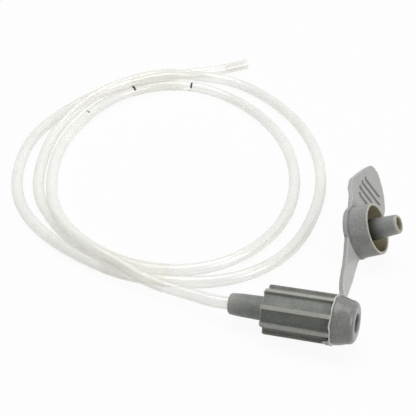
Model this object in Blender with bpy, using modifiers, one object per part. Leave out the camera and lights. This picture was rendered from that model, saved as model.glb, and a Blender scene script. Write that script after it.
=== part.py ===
"""Nasogastric feeding tube, coiled and taped, with its connector and tethered closure cap.

The part's origin is on the floor under the middle of the connector and its cap. The connector's
axis lies along X with the nose towards +X, and the strap of the cap runs away along +Y.
"""
import math

import bmesh
import bpy
import numpy as np
from mathutils import Euler, Vector

# Clearance between meshes that touch on the real object, the smallest broken edge, and how far
# a cutter stands out of what it cuts
GAP = 0.0003
FINE_EDGE = 0.0002
CUTTER_MARGIN = 0.001

# Feeding tube, 12 French
TUBE_OD = 0.0040
TUBE_POINTS = 80

# Connector: lengths run along its axis from the seam, where the tether ring sits
CONNECTOR_TILT = math.radians(5.5)
SEAM_AT = (0.0114, -0.0360)
LAY_AT = (SEAM_AT[0], SEAM_AT[1] - 0.0007)
SEAM_HEIGHT = 0.00955
BORE = 0.0028

GRIP_LENGTH = 0.0214
GRIP_CORE_RADIUS = 0.0069
RIB_COUNT = 8
RIB_TIP_RADIUS = 0.00755
RIB_WIDTH = 0.0014
RIB_ROOT_RADIUS = 0.0061
RIB_INSET = 0.0001
GRIP_CHAMFER = 0.0004
GRIP_CHAMFER_ANGLE = 60.0

NECK_LENGTH = 0.0114
NECK_RADIUS_TUBE_END = 0.0033
NECK_RADIUS_GRIP_END = 0.0037
NECK_EDGE = 0.0006
SOCKET_BORE = TUBE_OD + 2 * GAP
SOCKET_DEPTH = 0.0090

RING_THICKNESS = 0.0009
RING_OUTER_RADIUS = 0.0075
RING_EAR_END = 0.0086
RING_EAR_WIDTH = 0.0042
RING_EAR_ROOT = 0.0006

NOSE_LENGTH = 0.0061
NOSE_BASE_RADIUS = 0.00735
NOSE_END_RADIUS = 0.00545
NOSE_EDGE = 0.0005
FUNNEL_MOUTH_RADIUS = 0.00355
FUNNEL_THROAT_RADIUS = 0.0030
FUNNEL_DEPTH = 0.0130
NOSE_SWELL = ((0.35, 0.00030), (0.70, 0.00025))
SPIGOT_RADIUS = 0.0052
SPIGOT_EDGE = 0.0004
SPIGOT_SOCKET_DEPTH = 0.0080
RING_INNER_RADIUS = SPIGOT_RADIUS + GAP

# Closure cap: flange centre from LAY_AT, with the lean and turn of its axis. Lengths run along
# that axis from the flange's outer face.
CAP_AT = (-0.0052, 0.0455, 0.00785)
CAP_LEAN = math.radians(27.5)
CAP_TURN = math.radians(1.6)
FLANGE_RADIUS = 0.0088
FLANGE_THICKNESS = 0.00165
SKIRT_RADIUS = 0.0086
SKIRT_WALL = 0.0010
SKIRT_RIM = 0.0085
PLUG_BASE_RADIUS = 0.0038
PLUG_TIP_RADIUS = 0.00315
PLUG_LENGTH = 0.0160
PLUG_EDGE = 0.0008
PLUG_HOLE_RADIUS = 0.00213
PLUG_HOLE_DEPTH = 0.0100

# Strap and tab in one plate: distance along the strap from the flange centre, bow towards the
# plug, lower edge, upper edge, lean in degrees
PLATE_THICKNESS = 0.0015
PLATE_STATIONS = (
    (-0.0360, 0.0037, -0.0024, 0.0018, 5.5),
    (-0.0345, 0.0034, -0.0023, 0.0019, 12.0),
    (-0.0320, 0.0030, -0.0021, 0.0021, 21.0),
    (-0.0285, 0.0025, -0.0024, 0.0022, 27.5),
    (-0.0245, 0.0019, -0.0032, 0.0022, 27.5),
    (-0.0205, 0.0014, -0.0041, 0.0022, 27.5),
    (-0.0165, 0.0008, -0.0045, 0.0023, 27.5),
    (-0.0130, 0.0003, -0.0048, 0.0026, 27.5),
    (-0.0100, 0.0001, -0.0050, 0.0034, 27.5),
    (-0.0060, 0.0000, -0.0056, 0.0046, 27.5),
    (0.0000, 0.0000, -0.0066, 0.0066, 27.5),
    (0.0070, 0.0000, -0.0074, 0.0080, 27.5),
    (0.0100, 0.0001, -0.0078, 0.0086, 30.5),
    (0.0130, 0.0002, -0.0079, 0.0093, 36.5),
    (0.0178, 0.0003, -0.0079, 0.0105, 39.7),
    (0.0213, 0.0003, -0.0077, 0.0097, 39.7),
    (0.0240, 0.0003, -0.0070, 0.0089, 39.7),
    (0.0284, 0.0003, -0.0047, 0.0075, 39.7),
    (0.0310, 0.0003, -0.0027, 0.0065, 39.7),
    (0.0335, 0.0003, -0.0003, 0.0053, 39.7),
    (0.0347, 0.0003, 0.0013, 0.0042, 39.7),
)
PLATE_COLUMNS = 7
RIDGE_LENGTHS = (0.0100, 0.0110, 0.0100, 0.0080)
RIDGE_FIRST = 0.0155
RIDGE_PITCH = 0.0032
RIDGE_WIDTH = 0.0011
RIDGE_HEIGHT = 0.0004
RIDGE_EDGE = 0.0003
RIDGE_MIDDLE = 0.0004
RIDGE_DRIFT = 0.0003
TAB_RISE = PLATE_STATIONS[-1][1]

# Hinge of the strap: outside the ring's ear, at the ring's nose side
HINGE_RADIUS = 0.00875
HINGE_AXIAL = RING_THICKNESS / 2

# Tapes round the bundle: middle on the floor from LAY_AT, heading in degrees, length
TAPE_WALL = 0.00025
TAPE_FRONT = ((-0.0675, 0.0100), 188.0, 0.0230)
TAPE_BACK = ((-0.1060, 0.1215), 44.0, 0.0200)
TAPE_STATIONS = 9
TAPE_SIDE_EASE = 0.00055
TAPE_SIDES = 24
TAPE_REACH = 0.0120

# Tube route from LAY_AT, after the straight length in the neck and a straight lead out of it
TUBE_LEAD = 0.0050
ROUTE = (
    (-0.0430, 0.0016, 0.0053), (-0.0500, 0.0029, 0.0047), (-0.0565, 0.0036, 0.0047),
    (-0.0620, 0.0041, 0.0055), (-0.0670, 0.0049, 0.0067), (-0.0720, 0.0066, 0.0071),
    (-0.0778, 0.0088, 0.0072), (-0.0834, 0.0111, 0.0071), (-0.0895, 0.0143, 0.0068),
    (-0.0954, 0.0184, 0.0067), (-0.1016, 0.0240, 0.0067), (-0.1074, 0.0319, 0.0061),
    (-0.1129, 0.0418, 0.0036), (-0.1177, 0.0522, 0.0022), (-0.1217, 0.0660, 0.0021),
    (-0.1227, 0.0840, 0.0022), (-0.1197, 0.1005, 0.0026), (-0.1130, 0.1140, 0.0027),
    (-0.1040, 0.1220, 0.0027), (-0.0925, 0.1260, 0.0026), (-0.0790, 0.1252, 0.0021),
    (-0.0643, 0.1180, 0.0021), (-0.0487, 0.1041, 0.0021), (-0.0372, 0.0851, 0.0021),
    (-0.0316, 0.0650, 0.0021), (-0.0320, 0.0457, 0.0021), (-0.0380, 0.0298, 0.0021),
    (-0.0480, 0.0186, 0.0023), (-0.0600, 0.0127, 0.0027), (-0.0730, 0.0123, 0.0027),
    (-0.0840, 0.0147, 0.0026), (-0.0950, 0.0190, 0.0021), (-0.1058, 0.0268, 0.0021),
    (-0.1153, 0.0370, 0.0021), (-0.1225, 0.0514, 0.0021), (-0.1270, 0.0670, 0.0021),
    (-0.1282, 0.0796, 0.0031), (-0.1252, 0.0928, 0.0056), (-0.1198, 0.1052, 0.0070),
    (-0.1115, 0.1170, 0.0071), (-0.1020, 0.1262, 0.0064), (-0.0920, 0.1334, 0.0035),
    (-0.0805, 0.1362, 0.0022), (-0.0647, 0.1309, 0.0021), (-0.0460, 0.1166, 0.0021),
    (-0.0324, 0.0978, 0.0021), (-0.0248, 0.0780, 0.0021), (-0.0222, 0.0567, 0.0021),
    (-0.0250, 0.0350, 0.0021), (-0.0345, 0.0196, 0.0021), (-0.0480, 0.0110, 0.0023),
    (-0.0600, 0.0078, 0.0027), (-0.0730, 0.0074, 0.0027), (-0.0850, 0.0099, 0.0026),
    (-0.0980, 0.0150, 0.0021), (-0.1110, 0.0227, 0.0021), (-0.1228, 0.0351, 0.0021),
    (-0.1310, 0.0520, 0.0021), (-0.1348, 0.0720, 0.0021), (-0.1320, 0.0910, 0.0021),
    (-0.1238, 0.1096, 0.0026), (-0.1120, 0.1238, 0.0027), (-0.0995, 0.1336, 0.0027),
    (-0.0878, 0.1420, 0.0023), (-0.0772, 0.1522, 0.00215),
)

SEGMENTS = 48
SHARP_ANGLE = math.radians(35)
WELD_DISTANCE = 0.00001


def clear_scene():
    for obj in list(bpy.data.objects):
        bpy.data.objects.remove(obj, do_unlink=True)


def new_collection(name):
    group = bpy.data.collections.new(name)
    bpy.context.scene.collection.children.link(group)
    return group


def new_material(name, colour, roughness):
    mat = bpy.data.materials.new(name)
    mat.use_nodes = True
    shader = mat.node_tree.nodes["Principled BSDF"]
    shader.inputs["Base Color"].default_value = (*colour, 1.0)
    shader.inputs["Roughness"].default_value = roughness
    shader.inputs["Metallic"].default_value = 0.0
    mat.diffuse_color = (*colour, 1.0)
    return mat


def new_empty(name, location, rotation=(0.0, 0.0, 0.0), parent=None):
    empty = bpy.data.objects.new(name, None)
    empty.location = location
    empty.rotation_euler = rotation
    empty.parent = parent
    empty.empty_display_size = 0.005
    assembly.objects.link(empty)
    return empty


def new_object(name, mesh, parent=None, cutter=False):
    obj = bpy.data.objects.new(name, mesh)
    obj.parent = parent
    if cutter:
        obj.display_type = "WIRE"
        obj.hide_render = True
        tools.objects.link(obj)
    else:
        assembly.objects.link(obj)
    return obj


def turned(name, profile, parent=None, cutter=False):
    """Turn a profile of (radius, height) points, listed down its outer side, about Z."""
    mesh = bpy.data.meshes.new(name)
    edges = [(i, i + 1) for i in range(len(profile) - 1)]
    if profile[0][0] > 0:
        edges.append((len(profile) - 1, 0))
    mesh.from_pydata([(radius, 0.0, height) for radius, height in profile], edges, [])
    obj = new_object(name, mesh, parent, cutter)
    screw = obj.modifiers.new("turn", "SCREW")
    screw.steps = SEGMENTS
    screw.render_steps = SEGMENTS
    screw.use_merge_vertices = True
    screw.merge_threshold = WELD_DISTANCE
    return obj


def block(name, size, parent, cutter=True):
    """A box of the given size about its own origin."""
    mesh = bpy.data.meshes.new(name)
    bm = bmesh.new()
    bmesh.ops.create_cube(bm, size=1.0)
    bmesh.ops.scale(bm, vec=size, verts=bm.verts)
    bm.to_mesh(mesh)
    bm.free()
    return new_object(name, mesh, parent, cutter)


def bevel(obj, width, segments=1, angle=40.0):
    mod = obj.modifiers.new("bevel", "BEVEL")
    mod.width = width
    mod.segments = segments
    mod.limit_method = "ANGLE"
    mod.angle_limit = math.radians(angle)


def combine(obj, other, operation):
    mod = obj.modifiers.new(other.name, "BOOLEAN")
    mod.solver = "EXACT"
    mod.operation = operation
    mod.object = other


def freeze(obj, material):
    """Replace an object's mesh with what its modifiers give, smooth but for its hard edges."""
    bpy.context.view_layer.update()
    graph = bpy.context.evaluated_depsgraph_get()
    mesh = bpy.data.meshes.new_from_object(obj.evaluated_get(graph))
    mesh.name = obj.name
    obj.modifiers.clear()
    obj.data = mesh
    mesh.materials.clear()
    mesh.materials.append(material)
    mesh.polygons.foreach_set("use_smooth", [True] * len(mesh.polygons))
    mesh.set_sharp_from_angle(angle=SHARP_ANGLE)


def rounded(radius_in, radius_out, top, edge, steps=4):
    """Quarter round from a flat end at the given height to the side wall, going outwards."""
    points = []
    for i in range(steps + 1):
        turn = i / steps * math.pi / 2
        points.append((radius_out - edge + edge * math.sin(turn), top - edge + edge * math.cos(turn)))
    return [(radius_in, top)] + points


def build_grip(frame, material):
    left = -GRIP_LENGTH
    right = -RING_THICKNESS / 2 - GAP
    length = right - left
    neck_end = left - NECK_LENGTH

    profile = [(0.0, left + length / 2), (NECK_RADIUS_GRIP_END, left + length / 2)]
    profile.append((NECK_RADIUS_GRIP_END, left))
    profile += [(r, 2 * neck_end - z) for r, z in
                reversed(rounded(0.0, NECK_RADIUS_TUBE_END, neck_end, NECK_EDGE))]
    grip = turned("grip_body", profile, frame)

    core = bpy.data.meshes.new("grip_core")
    bm = bmesh.new()
    bmesh.ops.create_cone(bm, cap_ends=True, segments=RIB_COUNT, radius1=GRIP_CORE_RADIUS,
                          radius2=GRIP_CORE_RADIUS, depth=length)
    bm.to_mesh(core)
    bm.free()
    core_obj = new_object("grip_core", core, frame, cutter=True)
    core_obj.location.z = left + length / 2
    bevel(core_obj, GRIP_CHAMFER, angle=GRIP_CHAMFER_ANGLE)
    combine(grip, core_obj, "UNION")

    for i in range(RIB_COUNT):
        turn = i * 2 * math.pi / RIB_COUNT
        reach = RIB_TIP_RADIUS - RIB_ROOT_RADIUS
        rib = block(f"grip_rib_{i}", (reach, RIB_WIDTH, length - 2 * RIB_INSET), frame)
        away = RIB_ROOT_RADIUS + reach / 2
        rib.location = (away * math.cos(turn), away * math.sin(turn), left + length / 2)
        rib.rotation_euler.z = turn
        bevel(rib, GRIP_CHAMFER, segments=2)
        combine(grip, rib, "UNION")

    socket_bottom = neck_end + SOCKET_DEPTH
    spigot_bottom = right - SPIGOT_SOCKET_DEPTH
    bore = turned("grip_bore", [
        (0.0, right + CUTTER_MARGIN),
        (SPIGOT_RADIUS + GAP, right + CUTTER_MARGIN),
        (SPIGOT_RADIUS + GAP, spigot_bottom),
        (BORE / 2, spigot_bottom),
        (BORE / 2, socket_bottom),
        (SOCKET_BORE / 2, socket_bottom),
        (SOCKET_BORE / 2, neck_end - CUTTER_MARGIN),
        (0.0, neck_end - CUTTER_MARGIN),
    ], frame, cutter=True)
    bore.rotation_euler.z = math.pi / SEGMENTS
    combine(grip, bore, "DIFFERENCE")
    freeze(grip, material)
    return neck_end


def build_nose(frame, material):
    base = RING_THICKNESS / 2 + GAP
    spigot_end = -RING_THICKNESS / 2 - SPIGOT_SOCKET_DEPTH
    funnel_bottom = NOSE_LENGTH - FUNNEL_DEPTH
    profile = [
        (BORE / 2, funnel_bottom),
        (FUNNEL_THROAT_RADIUS, funnel_bottom),
        (FUNNEL_MOUTH_RADIUS, NOSE_LENGTH),
    ]
    profile += rounded(FUNNEL_MOUTH_RADIUS, NOSE_END_RADIUS, NOSE_LENGTH, NOSE_EDGE)[1:]
    for share, swell in NOSE_SWELL:
        height = NOSE_LENGTH - NOSE_EDGE + share * (base + NOSE_EDGE - NOSE_LENGTH)
        radius = NOSE_END_RADIUS + share * (NOSE_BASE_RADIUS - NOSE_END_RADIUS) + swell
        profile.append((radius, height))
    profile += [
        (NOSE_BASE_RADIUS, base + FINE_EDGE),
        (NOSE_BASE_RADIUS - FINE_EDGE, base),
        (SPIGOT_RADIUS, base),
        (SPIGOT_RADIUS, spigot_end + SPIGOT_EDGE),
        (SPIGOT_RADIUS - SPIGOT_EDGE, spigot_end),
        (BORE / 2, spigot_end),
    ]
    nose = turned("nose_cone", profile, frame)
    freeze(nose, material)


def build_ring(frame, material):
    half = RING_THICKNESS / 2
    ring = turned("tether_ring", [
        (RING_INNER_RADIUS, half),
        (RING_OUTER_RADIUS, half),
        (RING_OUTER_RADIUS, -half),
        (RING_INNER_RADIUS, -half),
    ], frame)
    start = RING_OUTER_RADIUS - RING_EAR_ROOT
    ear = block("ring_ear", (RING_EAR_WIDTH, RING_EAR_END - start, RING_THICKNESS), frame)
    ear.location = (0.0, (start + RING_EAR_END) / 2, 0.0)
    combine(ring, ear, "UNION")
    freeze(ring, material)


def plate_point(station, across):
    """Point on the plate's middle surface, in the cap's frame: across runs from 0 to 1."""
    along, bow, lower, upper, lean = station
    side = lower + across * (upper - lower)
    twist = math.radians(lean) - CAP_LEAN
    return (-side * math.cos(twist), along, FLANGE_THICKNESS / 2 + bow - side * math.sin(twist))


def build_plate(frame):
    mesh = bpy.data.meshes.new("cap_plate")
    bm = bmesh.new()
    rows = len(PLATE_STATIONS)
    bmesh.ops.create_grid(bm, x_segments=PLATE_COLUMNS - 1, y_segments=rows - 1, size=0.5)
    for vert in bm.verts:
        row = round((vert.co.y + 0.5) * (rows - 1))
        vert.co = plate_point(PLATE_STATIONS[row], 0.5 - vert.co.x)
    bm.to_mesh(mesh)
    bm.free()
    plate = new_object("cap_plate", mesh, frame, cutter=True)
    wall = plate.modifiers.new("thickness", "SOLIDIFY")
    wall.thickness = PLATE_THICKNESS
    wall.offset = 0.0
    bevel(plate, FINE_EDGE, angle=60.0)
    return plate


def build_cap(frame, material):
    floor = FLANGE_THICKNESS
    inner = SKIRT_RADIUS - SKIRT_WALL
    hole_bottom = PLUG_LENGTH - PLUG_HOLE_DEPTH
    profile = [(0.0, hole_bottom), (PLUG_HOLE_RADIUS, hole_bottom)]
    profile += rounded(PLUG_HOLE_RADIUS, PLUG_TIP_RADIUS, PLUG_LENGTH, PLUG_EDGE)
    profile += [
        (PLUG_BASE_RADIUS, floor),
        (inner, floor),
        (inner, SKIRT_RIM - FINE_EDGE / 2),
        (inner + FINE_EDGE / 2, SKIRT_RIM),
        (SKIRT_RADIUS - FINE_EDGE, SKIRT_RIM),
        (SKIRT_RADIUS, SKIRT_RIM - FINE_EDGE),
        (SKIRT_RADIUS, FLANGE_THICKNESS),
        (FLANGE_RADIUS - FINE_EDGE / 2, FLANGE_THICKNESS),
        (FLANGE_RADIUS, FLANGE_THICKNESS - FINE_EDGE),
        (FLANGE_RADIUS, FINE_EDGE),
        (FLANGE_RADIUS - FINE_EDGE, 0.0),
        (0.0, 0.0),
    ]
    cap = turned("closure_cap", profile, frame)
    combine(cap, build_plate(frame), "UNION")

    tab_lean = math.radians(PLATE_STATIONS[-1][4]) - CAP_LEAN
    for i, length in enumerate(RIDGE_LENGTHS):
        ridge = block(f"tab_ridge_{i}", (length, RIDGE_WIDTH, PLATE_THICKNESS), frame)
        ridge.rotation_euler.y = -tab_lean
        along = RIDGE_FIRST + i * RIDGE_PITCH
        middle = RIDGE_MIDDLE + RIDGE_DRIFT * i
        face = FLANGE_THICKNESS / 2 + TAB_RISE
        ridge.location = (
            -middle * math.cos(tab_lean) - RIDGE_HEIGHT * math.sin(tab_lean),
            along,
            face - middle * math.sin(tab_lean) + RIDGE_HEIGHT * math.cos(tab_lean),
        )
        bevel(ridge, RIDGE_EDGE, segments=2)
        combine(cap, ridge, "UNION")
    freeze(cap, material)


def smooth_route(points, count):
    """Read evenly spaced points off a natural cubic spline through the route's points."""
    knots = np.array(points)
    step = np.linalg.norm(np.diff(knots, axis=0), axis=1)
    place = np.concatenate(([0.0], np.cumsum(step)))
    size = len(knots)
    matrix = np.zeros((size, size))
    bends = np.zeros((size, 3))
    matrix[0, 0] = 1.0
    matrix[-1, -1] = 1.0
    for i in range(1, size - 1):
        matrix[i, i - 1:i + 2] = (step[i - 1], 2 * (step[i - 1] + step[i]), step[i])
        bends[i] = 6 * ((knots[i + 1] - knots[i]) / step[i] - (knots[i] - knots[i - 1]) / step[i - 1])
    second = np.linalg.solve(matrix, bends)

    def at(where):
        i = np.clip(np.searchsorted(place, where) - 1, 0, size - 2)
        width = step[i][:, None]
        after = (where - place[i])[:, None] / width
        before = 1 - after
        curve = before * knots[i] + after * knots[i + 1]
        bend = (before**3 - before) * second[i] + (after**3 - after) * second[i + 1]
        return curve + bend * width**2 / 6

    fine = at(np.linspace(0.0, place[-1], 4000))
    run = np.concatenate(([0.0], np.cumsum(np.linalg.norm(np.diff(fine, axis=0), axis=1))))
    even = np.linspace(0.0, run[-1], count)
    return np.stack([np.interp(even, run, fine[:, axis]) for axis in range(3)], axis=1)


def tube_route(neck_end):
    """The whole route: straight out of the neck's socket, then through the chosen points."""
    seam = np.array((*SEAM_AT, SEAM_HEIGHT))
    axis = np.array((math.cos(CONNECTOR_TILT), 0.0, math.sin(CONNECTOR_TILT)))
    inside = neck_end + SOCKET_DEPTH - GAP
    straight = [seam + axis * at for at in (inside, (inside + neck_end) / 2, neck_end, neck_end - TUBE_LEAD)]
    floor_point = np.array((*LAY_AT, 0.0))
    return straight + [floor_point + np.array(point) for point in ROUTE]


def build_tube(points, material):
    curve = bpy.data.curves.new("feeding_tube", "CURVE")
    curve.dimensions = "3D"
    curve.bevel_depth = TUBE_OD / 2
    curve.bevel_resolution = 3
    curve.use_fill_caps = True
    spline = curve.splines.new("POLY")
    spline.points.add(len(points) - 1)
    for spline_point, point in zip(spline.points, points):
        spline_point.co = (*point, 1.0)
    spline.use_smooth = True
    tube = bpy.data.objects.new("feeding_tube", curve)
    curve.materials.append(material)
    assembly.objects.link(tube)


def strands_at(points, middle, heading):
    """Where the tube crosses an upright plane: (sideways, height) of each strand near it."""
    forward = np.array((math.cos(heading), math.sin(heading)))
    sideways = np.array((-forward[1], forward[0]))
    offset = points[:, :2] - middle
    ahead = offset @ forward
    aside = offset @ sideways
    strands = []
    for i in range(len(points) - 1):
        if ahead[i] * ahead[i + 1] <= 0 and ahead[i] != ahead[i + 1] and abs(aside[i]) < TAPE_REACH:
            share = ahead[i] / (ahead[i] - ahead[i + 1])
            strands.append((aside[i] + share * (aside[i + 1] - aside[i]),
                            points[i, 2] + share * (points[i + 1, 2] - points[i, 2])))
    return np.array(strands)


def build_tape(name, tape, points, material):
    """Film drawn tight round the strands: a hull at each station, skinned along the bundle."""
    middle, heading, length = tape
    heading = math.radians(heading)
    forward = np.array((math.cos(heading), math.sin(heading)))
    sideways = np.array((-forward[1], forward[0]))
    half_width = TUBE_OD / 2 + TAPE_SIDE_EASE
    half_height = TUBE_OD / 2 + GAP
    mesh = bpy.data.meshes.new(name)
    bm = bmesh.new()
    rings = []
    for i in range(TAPE_STATIONS):
        base = np.array(middle) + np.array(LAY_AT) + forward * length * (i / (TAPE_STATIONS - 1) - 0.5)
        strands = strands_at(points, base, heading)
        ring = []
        for k in range(TAPE_SIDES):
            turn = 2 * math.pi * k / TAPE_SIDES
            reach = np.array((half_width * math.cos(turn), half_height * math.sin(turn)))
            facing = np.array((math.cos(turn) / half_width, math.sin(turn) / half_height))
            hull = strands[np.argmax(strands @ facing)] + reach
            ground = base + sideways * hull[0]
            ring.append(bm.verts.new((ground[0], ground[1], hull[1])))
        rings.append(ring)
    for first, second in zip(rings, rings[1:]):
        for k in range(TAPE_SIDES):
            after = (k + 1) % TAPE_SIDES
            bm.faces.new((first[k], first[after], second[after], second[k]))
    bmesh.ops.recalc_face_normals(bm, faces=bm.faces)
    bm.to_mesh(mesh)
    bm.free()
    sleeve = new_object(name, mesh)
    wall = sleeve.modifiers.new("film", "SOLIDIFY")
    wall.thickness = TAPE_WALL
    wall.offset = 1.0
    wall.use_even_offset = True
    freeze(sleeve, material)


clear_scene()
assembly = new_collection("nasogastric_tube")
tools = new_collection("cutters")

connector_plastic = new_material("connector_plastic", (0.50, 0.51, 0.53), 0.45)
nose_plastic = new_material("nose_plastic", (0.50, 0.51, 0.53), 0.40)
ring_plastic = new_material("ring_plastic", (0.62, 0.61, 0.60), 0.45)
cap_plastic = new_material("cap_plastic", (0.60, 0.59, 0.58), 0.45)
tube_plastic = new_material("tube_plastic", (0.88, 0.88, 0.86), 0.25)
front_film = new_material("tape_film_front", (0.86, 0.82, 0.74), 0.20)
back_film = new_material("tape_film_back", (0.86, 0.82, 0.74), 0.20)

seam_place = Vector((*SEAM_AT, SEAM_HEIGHT))
connector_turn = Euler((0.0, math.pi / 2 - CONNECTOR_TILT, 0.0))
connector = new_empty("connector_frame", seam_place, connector_turn)
neck_place = build_grip(connector, connector_plastic)
build_nose(connector, nose_plastic)
build_ring(connector, ring_plastic)

hinge_place = seam_place + connector_turn.to_matrix() @ Vector((0.0, HINGE_RADIUS, HINGE_AXIAL))
hinge = new_empty("cap_hinge", hinge_place)
cap_place = Vector((*LAY_AT, 0.0)) + Vector(CAP_AT) - hinge_place
cap_frame = new_empty("cap_frame", cap_place, (0.0, math.pi / 2 - CAP_LEAN, CAP_TURN), hinge)
build_cap(cap_frame, cap_plastic)

whole_route = tube_route(neck_place)
tube_points = smooth_route(whole_route, TUBE_POINTS)
build_tube(tube_points, tube_plastic)
build_tape("coil_tape_front", TAPE_FRONT, tube_points, front_film)
build_tape("coil_tape_back", TAPE_BACK, tube_points, back_film)
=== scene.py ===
"""Looks, floor, light and camera for the coiled nasogastric tube, laid over its CAD frame."""
import math

import bmesh
import bpy
import numpy as np
from mathutils import Matrix, Vector, noise


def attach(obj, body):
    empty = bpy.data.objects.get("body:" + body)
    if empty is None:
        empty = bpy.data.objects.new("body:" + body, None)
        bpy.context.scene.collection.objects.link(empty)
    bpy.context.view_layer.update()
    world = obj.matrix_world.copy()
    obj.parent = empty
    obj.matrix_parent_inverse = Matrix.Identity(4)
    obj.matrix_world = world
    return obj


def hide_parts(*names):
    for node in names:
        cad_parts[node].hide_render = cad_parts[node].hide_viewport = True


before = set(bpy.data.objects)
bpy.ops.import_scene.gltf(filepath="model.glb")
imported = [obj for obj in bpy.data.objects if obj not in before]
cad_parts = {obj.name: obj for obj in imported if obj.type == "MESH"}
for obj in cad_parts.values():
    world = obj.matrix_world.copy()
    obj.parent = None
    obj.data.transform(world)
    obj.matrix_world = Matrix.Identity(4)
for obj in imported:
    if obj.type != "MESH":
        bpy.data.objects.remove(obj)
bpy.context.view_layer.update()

# Places in the frame, in metres, as in the CAD source
SEAM = Vector((0.0114, -0.0360, 0.00955))
LAY = Vector((0.0114, -0.0367, 0.0))
TILT = math.radians(5.5)
AXIS = Vector((math.cos(TILT), 0.0, math.sin(TILT)))
CONNECTOR = Matrix.Translation(SEAM) @ Matrix.Rotation(math.pi / 2 - TILT, 4, "Y")

CAP_LEAN = math.radians(27.5)
CAP_TURN = math.radians(1.6)
CAP = (Matrix.Translation(LAY + Vector((-0.0052, 0.0455, 0.00785)))
       @ Matrix.Rotation(CAP_TURN, 4, "Z") @ Matrix.Rotation(math.pi / 2 - CAP_LEAN, 4, "Y"))

# Tube, whose bore is modelled near both ends only, and its socket in the neck
TUBE_RADIUS = 0.0020
TUBE_BORE_RADIUS = 0.00135
TUBE_SIDES = 40
TUBE_STEP = 0.0010
TUBE_LEAD = 0.0050
BORE_DEPTH = 0.0100
SOCKET_DEPTH = 0.0090
SOCKET_GAP = 0.0003

# Middle line of the tube from LAY, after its straight lead out of the neck and on to the free end
ROUTE = (
    (-0.0430, 0.0016, 0.0053), (-0.0500, 0.0029, 0.0047), (-0.0565, 0.0036, 0.0047),
    (-0.0620, 0.0041, 0.0055), (-0.0670, 0.0049, 0.0067), (-0.0720, 0.0066, 0.0071),
    (-0.0778, 0.0088, 0.0072), (-0.0834, 0.0111, 0.0071), (-0.0895, 0.0143, 0.0068),
    (-0.0954, 0.0184, 0.0067), (-0.1016, 0.0240, 0.0067), (-0.1074, 0.0319, 0.0061),
    (-0.1129, 0.0418, 0.0036), (-0.1177, 0.0522, 0.0022), (-0.1217, 0.0660, 0.0021),
    (-0.1227, 0.0840, 0.0022), (-0.1197, 0.1005, 0.0026), (-0.1130, 0.1140, 0.0027),
    (-0.1040, 0.1220, 0.0027), (-0.0925, 0.1260, 0.0026), (-0.0790, 0.1252, 0.0021),
    (-0.0643, 0.1180, 0.0021), (-0.0487, 0.1041, 0.0021), (-0.0372, 0.0851, 0.0021),
    (-0.0316, 0.0650, 0.0021), (-0.0320, 0.0457, 0.0021), (-0.0380, 0.0298, 0.0021),
    (-0.0480, 0.0186, 0.0023), (-0.0600, 0.0127, 0.0027), (-0.0730, 0.0123, 0.0027),
    (-0.0840, 0.0147, 0.0026), (-0.0950, 0.0190, 0.0021), (-0.1058, 0.0268, 0.0021),
    (-0.1153, 0.0370, 0.0021), (-0.1225, 0.0514, 0.0021), (-0.1270, 0.0670, 0.0021),
    (-0.1282, 0.0796, 0.0031), (-0.1252, 0.0928, 0.0056), (-0.1198, 0.1052, 0.0070),
    (-0.1115, 0.1170, 0.0071), (-0.1020, 0.1262, 0.0064), (-0.0920, 0.1334, 0.0035),
    (-0.0805, 0.1362, 0.0022), (-0.0647, 0.1309, 0.0021), (-0.0460, 0.1166, 0.0021),
    (-0.0324, 0.0978, 0.0021), (-0.0248, 0.0780, 0.0021), (-0.0222, 0.0567, 0.0021),
    (-0.0250, 0.0350, 0.0021), (-0.0345, 0.0196, 0.0021), (-0.0480, 0.0110, 0.0023),
    (-0.0600, 0.0078, 0.0027), (-0.0730, 0.0074, 0.0027), (-0.0850, 0.0099, 0.0026),
    (-0.0980, 0.0150, 0.0021), (-0.1110, 0.0227, 0.0021), (-0.1228, 0.0351, 0.0021),
    (-0.1310, 0.0520, 0.0021), (-0.1348, 0.0720, 0.0021), (-0.1320, 0.0910, 0.0021),
    (-0.1238, 0.1096, 0.0026), (-0.1120, 0.1238, 0.0027), (-0.0995, 0.1336, 0.0027),
    (-0.0878, 0.1420, 0.0023), (-0.0772, 0.1522, 0.00215),
)

# Neck: its end as a height from the seam along the connector's axis, the length of its socket that
# is made here, and its roundings, each with the radius at which its centre lies. Its outer side is
# given as radius and distance from the neck's end or from the grip's left end.
NECK_END = -0.0328
SOCKET_SHOWN = 0.0085
MOUTH_ROUND = 0.0006
NECK_ROUND = 0.0008
NECK_ROUND_RADIUS = 0.0025
NECK_NEAR_END = (0.00352, 0.0040)
NECK_NEAR_GRIP = (0.00368, 0.0008)
NECK_FILLET = 0.0005
NECK_FILLET_RADIUS = 0.0042

# Grip: heights from the seam, which the ring's rim covers. GRIP_EDGE is the rounding of its left
# end, as distance in from the outer surface and height.
GRIP_LEFT = -0.0214
GRIP_RIGHT = -0.00005
RIBS = 8
RIB_HALF_WIDTH = 0.00062
RIB_WALL = 0.00016
RIB_TIP = 0.00755
VALLEY_CORNER = 0.00680
SHOULDER = 0.0055
GRIP_EDGE = ((0.00060, 0.0), (0.00035, 0.0001), (0.00012, 0.0003), (0.0, 0.0006))
GRIP_RIGHT_EDGE = (0.00012, 0.0002)
GRIP_STEPS = 12
SPIGOT = 0.0055
SPIGOT_DEPTH = 0.0070

# Nose: radius and height from the seam, for its barrel and for the bore deep inside it
NOSE_BARREL = (
    (0.0052, -0.0060), (0.0052, 0.0001), (0.0072, 0.0001), (0.00732, 0.0003), (0.00738, 0.0008),
    (0.00732, 0.0014), (0.00718, 0.0022), (0.00694, 0.0031), (0.00662, 0.0040),
)
NOSE_BORE = ((0.0026, -0.0065), (0.0014, -0.0066), (0.0014, -0.0080))
NOSE_END = 0.0065
NOSE_LIP = 0.0017
NOSE_LIP_RADIUS = 0.00478
NOSE_HOLE = 0.0028
NOSE_HOLE_ROUND = 0.0006
NOSE_HOLE_DEPTH = -0.0020

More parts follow.
